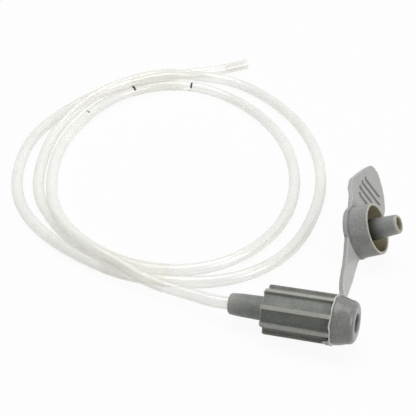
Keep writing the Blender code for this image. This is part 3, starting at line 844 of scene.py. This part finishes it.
def build_tube(points):
    """The tube's skin in one piece: in along the bore, out along the outside and in again."""
    last = len(points) - 1
    frames = []
    for i in range(last + 1):
        frames.append(tube_frame(points[i], points[min(i + 1, last)] - points[max(i - 1, 0)]))
    turns = [2 * math.pi * k / TUBE_SIDES for k in range(TUBE_SIDES)]
    outer = [[around(frame, TUBE_RADIUS, turn) for turn in turns] for frame in frames]
    depth = int(BORE_DEPTH / TUBE_STEP)
    first = [[around(frame, TUBE_BORE_RADIUS, turn) for turn in turns] for frame in frames[:depth]]
    final = [[around(frame, TUBE_BORE_RADIUS, turn) for turn in turns] for frame in frames[-depth:]]
    obj = skin("tube_shell", list(reversed(first)) + outer + list(reversed(final)), cap_ends=True)
    smooth(obj, 50)
    return obj


def build_marks(points):
    """Thin printed bars and dots, wrapped part of the way round the tube."""
    run = run_along(points)

    def centre(at):
        return np.array([np.interp(at, run, points[:, axis]) for axis in range(3)])

    bm = bmesh.new()
    for at, first, last, half in MARKS:
        rows = []
        for k in range(-2, 3):
            along = at + half * k / 2
            frame = tube_frame(centre(along), centre(along + MARK_REACH) - centre(along - MARK_REACH))
            trim = MARK_ROUND * (last - first) if abs(k) == 2 else 0.0
            start = math.radians(first + trim)
            turn = math.radians(last - first - 2 * trim) / MARK_STEPS
            rows.append([bm.verts.new(around(frame, TUBE_RADIUS + MARK_LIFT, start + turn * i))
                         for i in range(MARK_STEPS + 1)])
        for a, b in zip(rows, rows[1:]):
            for i in range(MARK_STEPS):
                bm.faces.new((a[i], a[i + 1], b[i + 1], b[i]))
    bmesh.ops.recalc_face_normals(bm, faces=bm.faces)
    mesh = bpy.data.meshes.new("depth_marks")
    bm.to_mesh(mesh)
    bm.free()
    obj = link("depth_marks", mesh)
    wall = obj.modifiers.new("ink", "SOLIDIFY")
    wall.thickness = 2 * MARK_LIFT
    wall.offset = 0.0
    freeze(obj)
    smooth(obj, 40)
    return obj


def strands_at(points, middle, forward, sideways):
    """Where the tube crosses an upright plane: (sideways, height) of each strand near it."""
    offset = points[:, :2] - middle
    ahead = offset @ forward
    aside = offset @ sideways
    strands = []
    for i in range(len(points) - 1):
        if ahead[i] * ahead[i + 1] <= 0 and ahead[i] != ahead[i + 1] and abs(aside[i]) < TAPE_REACH:
            share = ahead[i] / (ahead[i] - ahead[i + 1])
            strands.append((aside[i] + share * (aside[i + 1] - aside[i]),
                            points[i, 2] + share * (points[i + 1, 2] - points[i, 2])))
    return np.array(strands)


def build_tape(name, tape, points):
    """Film drawn tight round the strands, with ragged ends."""
    middle, heading, length, seed = tape
    heading = math.radians(heading)
    forward = np.array((math.cos(heading), math.sin(heading)))
    sideways = np.array((-forward[1], forward[0]))
    centre = np.array(middle) + np.array(LAY[:2])
    rows = []
    for i in range(TAPE_STATIONS):
        row = []
        share = i / (TAPE_STATIONS - 1) - 0.5
        for k in range(TAPE_SIDES):
            turn = 2 * math.pi * k / TAPE_SIDES
            spot = Vector((2 * math.cos(turn), 2 * math.sin(turn), seed + 7 * (share > 0)))
            ragged = RAGGED_COARSE * noise.noise(spot) + RAGGED_FINE * noise.noise(spot * 3.3)
            base = centre + forward * (length * share + ragged * (2 * share) ** 3)
            reach = np.array((TAPE_HALF_WIDTH * math.cos(turn), TAPE_HALF_HEIGHT * math.sin(turn)))
            facing = np.array((math.cos(turn) / TAPE_HALF_WIDTH, math.sin(turn) / TAPE_HALF_HEIGHT))
            strands = strands_at(points, base, forward, sideways)
            hull = strands[np.argmax(strands @ facing)] + reach
            ground = base + sideways * hull[0]
            row.append(Vector((ground[0], ground[1], hull[1])))
        rows.append(row)
    obj = skin(name, rows)
    smooth(obj, 50)
    return obj


def white_rays(nodes, links, share):
    """The share of plain white in what camera, glossy and transmission rays see, and none in others."""
    path = nodes.new("ShaderNodeLightPath")
    total = path.outputs["Is Camera Ray"]
    for kind in ("Is Glossy Ray", "Is Transmission Ray"):
        add = nodes.new("ShaderNodeMath")
        add.operation = "ADD"
        add.use_clamp = True
        links.new(total, add.inputs[0])
        links.new(path.outputs[kind], add.inputs[1])
        total = add.outputs["Value"]
    scale = nodes.new("ShaderNodeMath")
    scale.operation = "MULTIPLY"
    scale.inputs[1].default_value = share
    links.new(total, scale.inputs[0])
    return scale.outputs["Value"]


def build_floor():
    """A pale floor that the camera sees mostly as plain white, with the object's soft shadow."""
    bpy.ops.mesh.primitive_plane_add(size=FLOOR_SIZE, location=(0.0, 0.0, -FLOOR_DROP))
    floor = bpy.context.object
    floor.name = "studio_floor"
    mat, nodes, links = new_material("studio_white")
    shader = nodes["Principled BSDF"]
    shader.inputs["Base Color"].default_value = (FLOOR_TONE, FLOOR_TONE, FLOOR_TONE, 1.0)
    shader.inputs["Roughness"].default_value = 1.0
    shader.inputs["Specular IOR Level"].default_value = 0.0
    white = nodes.new("ShaderNodeEmission")
    mixed = nodes.new("ShaderNodeMixShader")
    links.new(white_rays(nodes, links, FLOOR_WHITE), mixed.inputs["Fac"])
    links.new(shader.outputs["BSDF"], mixed.inputs[1])
    links.new(white.outputs["Emission"], mixed.inputs[2])
    links.new(mixed.outputs["Shader"], nodes["Material Output"].inputs["Surface"])
    floor.data.materials.append(mat)


def build_world():
    """Plain surroundings: dim as a light, and white where the camera or a gloss sees them."""
    world = bpy.data.worlds.new("studio")
    world.use_nodes = True
    nodes = world.node_tree.nodes
    links = world.node_tree.links
    dim = nodes["Background"]
    dim.inputs["Color"].default_value = (1.0, 1.0, 1.0, 1.0)
    dim.inputs["Strength"].default_value = WORLD_LEVEL
    white = nodes.new("ShaderNodeBackground")
    white.inputs["Color"].default_value = (1.0, 1.0, 1.0, 1.0)
    mixed = nodes.new("ShaderNodeMixShader")
    links.new(white_rays(nodes, links, 1.0), mixed.inputs["Fac"])
    links.new(dim.outputs["Background"], mixed.inputs[1])
    links.new(white.outputs["Background"], mixed.inputs[2])
    links.new(mixed.outputs["Shader"], nodes["World Output"].inputs["Surface"])
    bpy.context.scene.world = world


def softbox(name, place, size, power):
    """A square soft light that faces the middle of the part."""
    light = bpy.data.lights.new(name, "AREA")
    light.shape = "RECTANGLE"
    light.size = size
    light.size_y = size
    light.energy = power
    lamp = bpy.data.objects.new(name, light)
    lamp.location = place
    lamp.rotation_euler = (Vector(AIM) - Vector(place)).to_track_quat("-Z", "Y").to_euler()
    bpy.context.scene.collection.objects.link(lamp)


def build_camera():
    """The photograph's view of the part, worked out from its coil and connector."""
    data = bpy.data.cameras.new("camera")
    data.sensor_width = CAMERA_SENSOR
    data.lens = CAMERA_LENS
    data.clip_start = CAMERA_NEAR
    camera = bpy.data.objects.new("camera", data)
    eye = LAY + Vector(CAMERA_EYE)
    target = LAY + Vector(CAMERA_TARGET)
    camera.location = eye
    camera.rotation_euler = (target - eye).to_track_quat("-Z", "Y").to_euler()
    bpy.context.scene.collection.objects.link(camera)
    bpy.context.scene.camera = camera


centre_line = smooth_route(tube_route(), TUBE_STEP)
grip = build_grip()
nose = build_nose()
ring = build_ring()
cap = build_cap()
tube = build_tube(centre_line)
marks = build_marks(centre_line)
tape_front = build_tape("tape_front", TAPE_FRONT, centre_line)
tape_back = build_tape("tape_back", TAPE_BACK, centre_line)

grip_look = moulded(
    "connector_plastic", low=(0.215, 0.228, 0.208), high=(0.285, 0.298, 0.276),
    roughness=0.46, gloss=0.18, grain_depth=0.00008,
    # The first tint paints highlights on the ribs' tops and edges. The second paints shade in the valleys
    # and on the grip's lower side.
    tints=(("painted_highlight", (0.47, 0.47, 0.43)), ("painted_shade", (0.094, 0.100, 0.085))))
nose_look = moulded(
    "nose_plastic", low=(0.180, 0.184, 0.176), high=(0.226, 0.228, 0.218),
    roughness=0.24, gloss=0.50, grain_depth=0.00001,
    tints=(("inside", (0.150, 0.130, 0.090)),))
ring_look = moulded(
    "ring_plastic", low=(0.56, 0.56, 0.52), high=(0.70, 0.70, 0.66),
    roughness=0.40, gloss=0.30, grain_depth=0.00008)
cap_look = moulded(
    "cap_plastic", low=(0.294, 0.302, 0.297), high=(0.352, 0.359, 0.350),
    roughness=0.34, gloss=0.30, grain_depth=0.00004,
    # Tints: paler strap and tab with painted highlights, painted shade, the warmer plastic inside, and a
    # painted highlight on the skirt's rim and the plug's tip.
    tints=(("plate", (0.560, 0.545, 0.530)), ("painted_shade", (0.040, 0.041, 0.035)),
           ("inside", (0.400, 0.365, 0.250)), ("rim", (0.480, 0.465, 0.405))))
front_look = film("tape_film_front", colour=(0.93, 0.86, 0.70), cover=0.14)
back_look = film("tape_film_back", colour=(0.93, 0.87, 0.72), cover=0.12)
for obj, body, mat in (
    (grip, "connector", grip_look),
    (nose, "connector", nose_look),
    (ring, "connector", ring_look),
    (cap, "cap", cap_look),
    (tube, "connector", clear_tube()),
    (marks, "connector", ink()),
    (tape_front, "connector", front_look),
    (tape_back, "connector", back_look),
):
    obj.data.materials.clear()
    obj.data.materials.append(mat)
    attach(obj, body)

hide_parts("grip_body")
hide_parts("nose_cone")
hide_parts("tether_ring")
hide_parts("closure_cap")
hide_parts("feeding_tube")
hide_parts("coil_tape_front")
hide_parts("coil_tape_back")

build_floor()
build_world()
softbox("key", KEY_PLACE, KEY_SIZE, KEY_POWER)
softbox("fill", FILL_PLACE, FILL_SIZE, FILL_POWER)
build_camera()
bpy.context.scene.view_settings.view_transform = "Standard"
